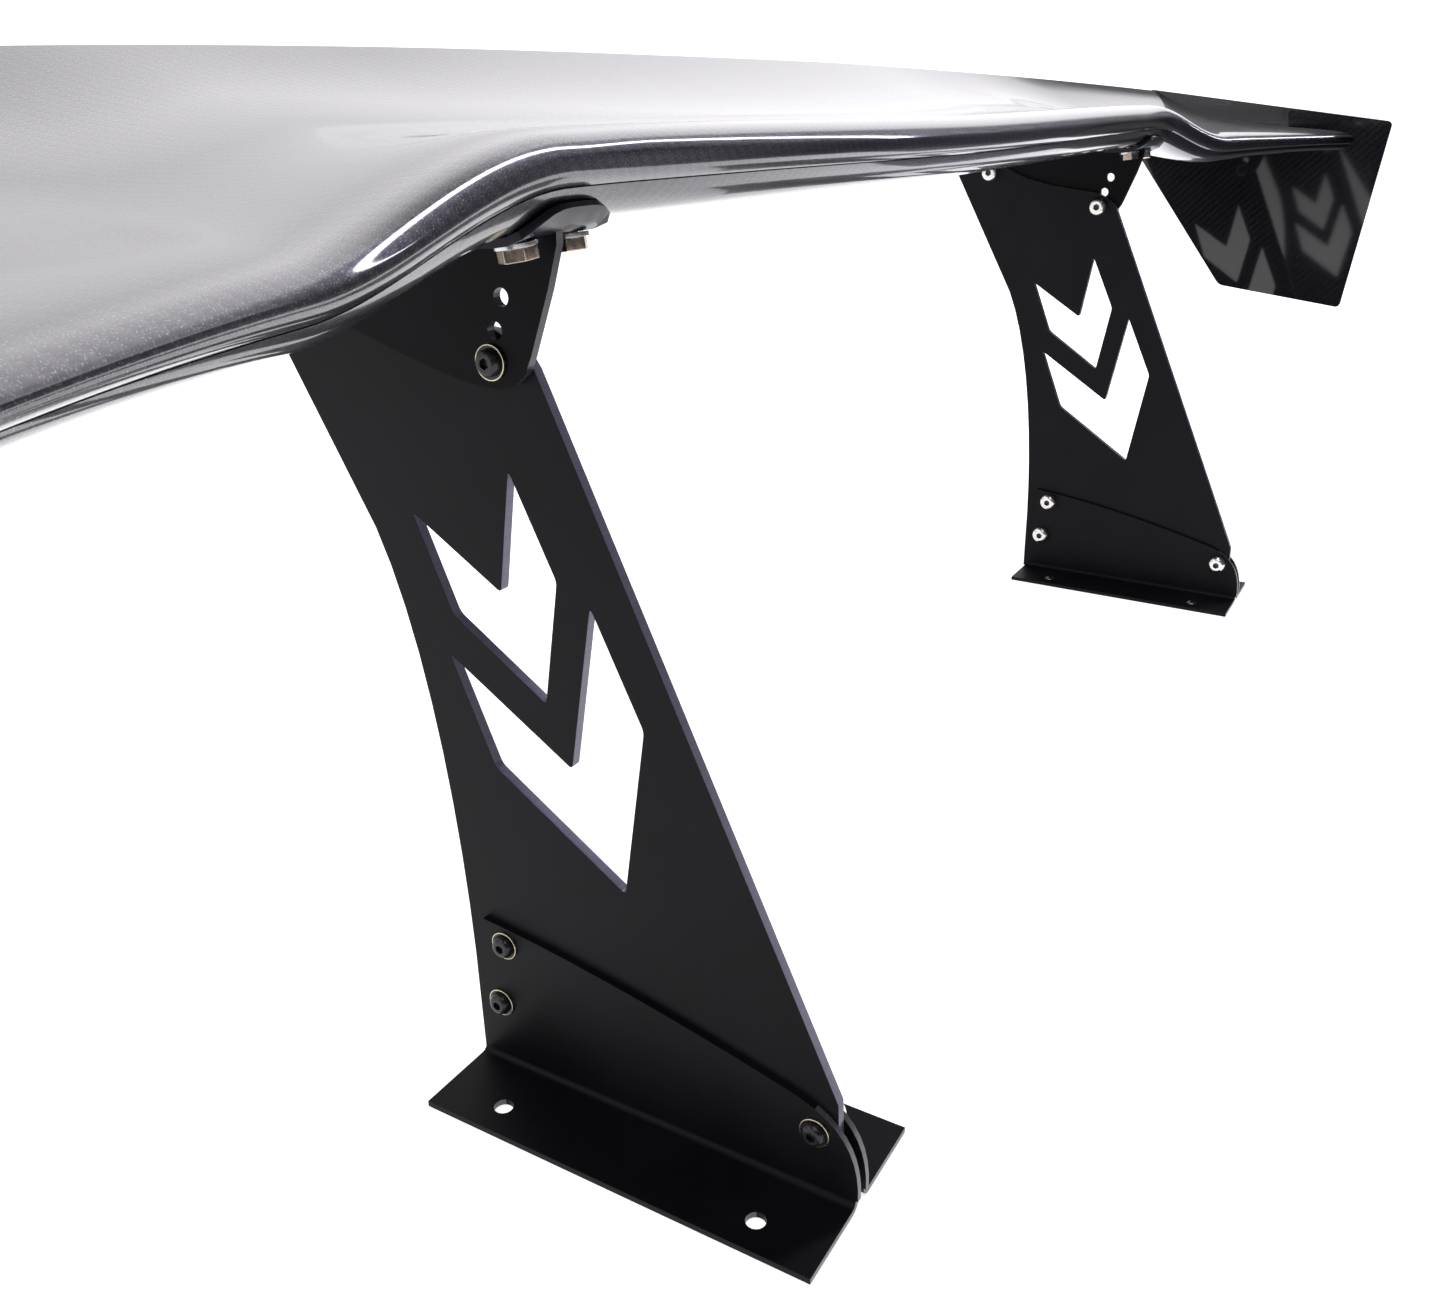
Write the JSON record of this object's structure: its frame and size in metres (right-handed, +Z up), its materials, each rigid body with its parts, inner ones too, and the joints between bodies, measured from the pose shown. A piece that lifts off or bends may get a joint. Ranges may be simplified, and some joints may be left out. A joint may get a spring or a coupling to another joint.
{
  "type": "racing rear wing",
  "caption": "Bowed hollow carbon wing with flat end plates, on cut-out plate stands with folded feet; its angle adjusts about a front pivot.",
  "frame": {"origin": "on the deck, in the middle of the bolt pattern of the four feet", "axes": "+X along the span towards the driver's left, +Y to the rear of the car, +Z up"},
  "size_m": [1.5276, 0.3641, 0.46],
  "materials": {
    "carbon": "clear-coated carbon fibre twill, high gloss",
    "carbon_plate": "flat carbon sheet, gloss lacquer",
    "black_aluminium": "black anodised sheet, satin, with paler cut edges",
    "bracket_aluminium": "dark anodised section, satin, with paler cut edges",
    "bare_aluminium": "machined, satin",
    "black_screw": "black oxide, satin",
    "bronze_screw": "bronze-coloured coating, satin",
    "brass_washer": "yellow passivated, satin",
    "bright_nut": "polished stainless",
    "plated_washer": "zinc plated, satin"
  },
  "bodies": {
    "stands": {"upright_left": "black_aluminium", "upright_right": "black_aluminium", "foot_outer_left": "black_aluminium", "foot_outer_right": "black_aluminium", "foot_inner_left": "black_aluminium", "foot_inner_right": "black_aluminium", "foot_screws_left": "black_screw", "foot_screws_right": "black_screw", "foot_washers_left": "brass_washer", "foot_washers_right": "brass_washer", "foot_nuts_left": "bright_nut", "foot_nuts_right": "bright_nut", "pivot_screw_left": "black_screw", "pivot_screw_right": "black_screw", "pivot_washer_left": "brass_washer", "pivot_washer_right": "brass_washer", "pivot_nut_left": "bright_nut", "pivot_nut_right": "bright_nut", "lock_screw_left": "black_screw", "lock_screw_right": "black_screw", "lock_washer_left": "brass_washer", "lock_washer_right": "brass_washer", "lock_nut_left": "bright_nut", "lock_nut_right": "bright_nut"},
    "wing": {"wing_upper_skin": "carbon", "wing_lower_skin": "carbon", "hardpoint_left": "bare_aluminium", "hardpoint_right": "bare_aluminium", "tip_rib_left": "carbon", "tip_rib_right": "carbon", "end_plate_left": "carbon_plate", "end_plate_right": "carbon_plate", "end_plate_screws_left": "black_screw", "end_plate_screws_right": "black_screw", "end_plate_washers_left": "plated_washer", "end_plate_washers_right": "plated_washer", "bracket_left": "bracket_aluminium", "bracket_right": "bracket_aluminium", "bracket_screws_left": "bronze_screw", "bracket_screws_right": "bronze_screw", "bracket_washers_left": "plated_washer", "bracket_washers_right": "plated_washer"}
  },
  "joints": [
    {"name": "wing_tilt", "type": "hinge", "parent": "stands", "child": "wing", "pos_m": [0, 0.0645, 0.3435], "axis": [1, 0, 0], "range_deg": [-5, 5]}
  ]
}
